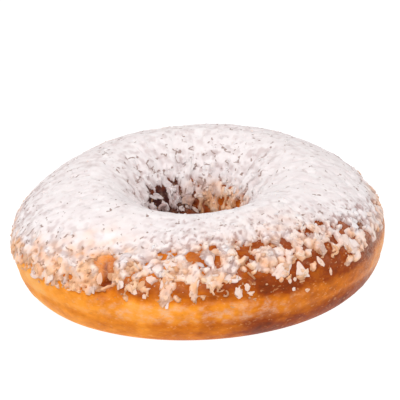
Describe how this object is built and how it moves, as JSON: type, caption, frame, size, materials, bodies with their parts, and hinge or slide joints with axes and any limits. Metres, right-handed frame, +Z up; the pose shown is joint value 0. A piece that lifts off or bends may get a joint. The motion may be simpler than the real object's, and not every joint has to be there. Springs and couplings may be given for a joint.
{
  "type": "coconut doughnut",
  "caption": "Ring doughnut of risen fried dough, its top and sides covered with coconut flakes and shreds, with bare crust low round the side.",
  "frame": {"origin": "middle of the outline in plan, at the flat ring of the underside that the doughnut lies on", "axes": "+Z up through the hole, out of the coated side; -Y towards the side that the picture shows in front; +X to that side's right"},
  "size_m": [0.0938, 0.0946, 0.0297],
  "materials": {
    "crust": "fried yeast dough crust, golden to chestnut brown with a paler line round the side, slightly greasy satin",
    "coconut": "white dried coconut flakes and shreds, dull to faintly waxy, a little translucent at thin edges"
  },
  "bodies": {
    "root": {"doughnut": "crust"}
  },
  "joints": []
}
